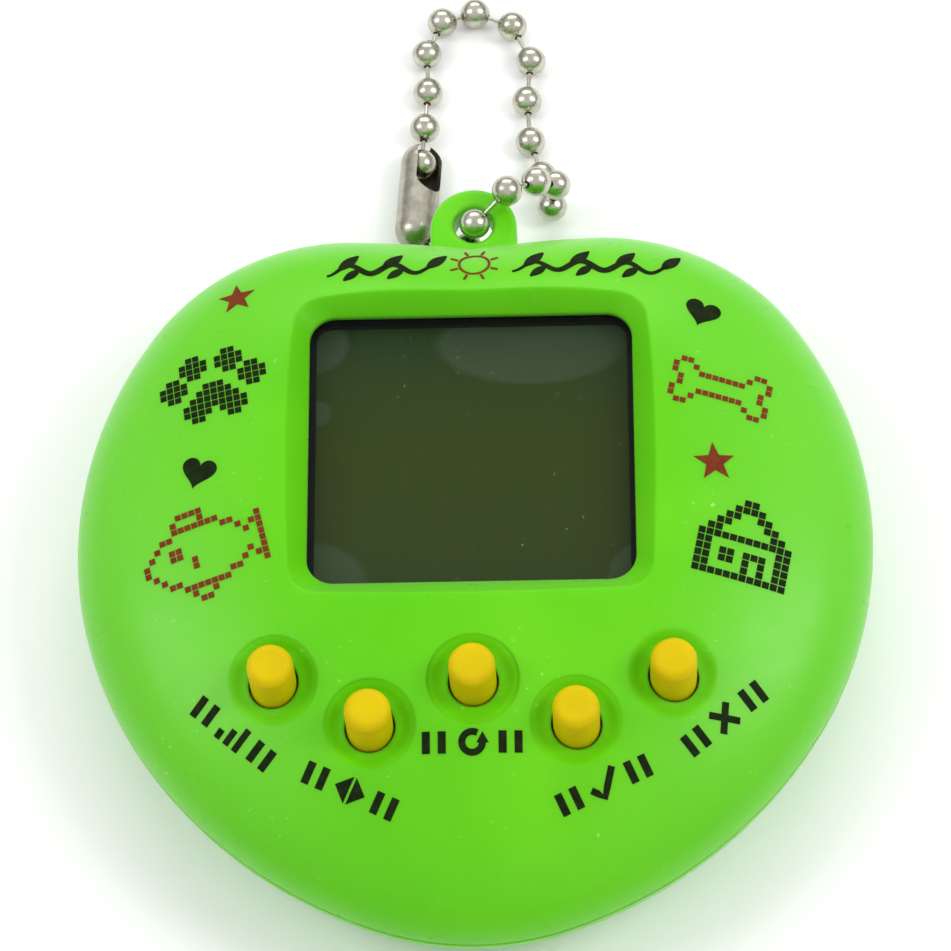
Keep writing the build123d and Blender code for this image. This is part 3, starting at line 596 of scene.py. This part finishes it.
def flourish(length, leaves, height):
    """A pen flourish: a waving stem with slanted leaves above and below it by turns."""
    steps = leaves * LEAF_STEPS
    points, widths = [], []
    for k in range(steps + 1):
        share = k / steps
        points.append(((share - 0.5) * length, -STEM_WAVE * height * math.cos(math.pi * leaves * share)))
        widths.append(STEM_TIP + STEM_BELLY * math.sin(math.pi * share))
    made = stroke(points, widths)
    for k in range(leaves):
        x, y = points[int((k + 0.5) * steps / leaves)]
        share, lean = (LEAF_ABOVE, LEAF_BELOW)[k % 2]
        made += leaf(x, y, height * share, lean)
    return made


PAW = (
    "....##...##....",
    "...####.####...",
    "...####.####...",
    ".##.##...##.##.",
    "####.......####",
    "####..###..####",
    ".##..#####..##.",
    "....#######....",
    "...#########...",
    "...####.####...",
    "....##...##....",
)
FISH = (
    "......####........",
    ".....#...#........",
    ".....#######......",
    "...##.......##...#",
    "..#...........#.##",
    ".#..##.........#.#",
    "#...##...........#",
    "#......#.........#",
    ".#.....#.......#.#",
    "..#...........#.##",
    "...##.......##...#",
    ".....#######......",
    "......#..#........",
    ".......##.........",
)
BONE = (
    ".##.........##.",
    "#..#.......#..#",
    "#...#######...#",
    ".#...........#.",
    ".#...........#.",
    "#...#######...#",
    "#..#.......#..#",
    ".##.........##.",
)
HOUSE = (
    "......##......",
    ".....####.....",
    "....##..##....",
    "...##....##...",
    "..##......##..",
    ".############.",
    ".##........##.",
    ".##.##.###.##.",
    ".##.##.#.#.##.",
    ".##....#.#.##.",
    ".############.",
)


# all in millimetres
SIGN_LINE = 0.5      # width of a sign's strokes
FLANK_LINE = 0.58    # width of the bars beside it
FLANK_REACH = 2.2    # from the sign's middle to the nearer bars
FLANK_PITCH = 1.15
FLANK_HEIGHT = 1.6
METER_PITCH = 0.85
METER_FOOT = -0.95


def flanked(shapes):
    """A small sign between two pairs of upright bars, which stands in for a key's label."""
    made = list(shapes)
    for x in (-FLANK_REACH - FLANK_PITCH, -FLANK_REACH, FLANK_REACH, FLANK_REACH + FLANK_PITCH):
        made += line((x, -FLANK_HEIGHT / 2), (x, FLANK_HEIGHT / 2), width=FLANK_LINE)
    return made


def bars(heights):
    """Upright bars side by side, like a level meter."""
    made = []
    for k, height in enumerate(heights):
        x = (k - (len(heights) - 1) / 2) * METER_PITCH
        made += line((x, METER_FOOT), (x, METER_FOOT + height), width=SIGN_LINE)
    return made


# each key's sign, its place in millimetres and its turn in degrees
KEY_SIGNS = {
    "far_left": (bars((0.7, 1.2, 1.8)), (-17.45, -20.6), -41),
    "left": ([[(-1.2, 0), (-0.1, 1.0), (-0.1, -1.0)], [(1.2, 0), (0.1, -1.0), (0.1, 1.0)]],
             (-8.85, -25.35), -26),
    "center": ([*arc(0.75, 60, 360, width=SIGN_LINE), [(0.30, -0.05), (1.2, -0.05), (0.75, 0.75)]],
               (0.05, -22.25), 0),
    "right": (line((-1.0, 0.0), (-0.3, -0.8), (1.1, 0.95), width=SIGN_LINE), (9.5, -25.2), 26),
    "far_right": ([*line((-0.8, -0.8), (0.8, 0.8), width=SIGN_LINE),
                   *line((-0.8, 0.8), (0.8, -0.8), width=SIGN_LINE)], (18.35, -20.0), 40),
}

# all in millimetres but the count of rays
SUN_RADIUS = 1.15
SUN_RAYS = 8
SUN_RAY_FROM, SUN_RAY_TO = 1.35, 1.95
SUN_LINE = 0.2


def sun():
    """A plain ring with rays round it."""
    made = arc(SUN_RADIUS, 0, 360, width=SUN_LINE)
    for k in range(SUN_RAYS):
        t = math.tau * (k + 0.5) / SUN_RAYS
        made += line((SUN_RAY_FROM * math.cos(t), SUN_RAY_FROM * math.sin(t)),
                     (SUN_RAY_TO * math.cos(t), SUN_RAY_TO * math.sin(t)), width=SUN_LINE)
    return made


def print_decoration():
    """Everything pad-printed on the front, in generic drawings; places and widths are in millimetres."""
    ink("print_flourish_left", "ink_black", flourish(8.4, 5, 3.6), (-6.7, 16.3))
    ink("print_flourish_right", "ink_black", flourish(12.2, 7, 3.6), (9.3, 16.3))
    ink("print_sun", "ink_red", sun(), (0.3, 16.85))
    ink("print_star_left", "ink_red", [star(1.5)], (-17.85, 14.75), 5)
    ink("print_star_right", "ink_red", [star(1.6)], (18.1, -0.6), 5)
    ink("print_heart_left", "ink_black", [heart(2.7)], (-20.3, -0.35), -18)
    ink("print_heart_right", "ink_black", [heart(2.7)], (17.55, 12.4), -18)
    ink("print_paw", "ink_black", dots(PAW, 8.3), (-19.4, 6.9), 8)
    ink("print_fish", "ink_red", dots(FISH, 9.4), (-19.7, -6.9), 14)
    ink("print_bone", "ink_red", dots(BONE, 7.6), (18.7, 5.6), -12)
    ink("print_house", "ink_black", dots(HOUSE, 8.2), (20.2, -6.7), -12)
    for key, (shapes, place, turn) in KEY_SIGNS.items():
        ink(f"print_sign_{key}", "ink_black", flanked(shapes), place, turn)


# ---- the scene ------------------------------------------------------------
add_camera()
SCENE.view_settings.view_transform = "Standard"
add_studio()
dress_frame()
for key in KEY_SIGNS:
    return_dome(key)
print_decoration()
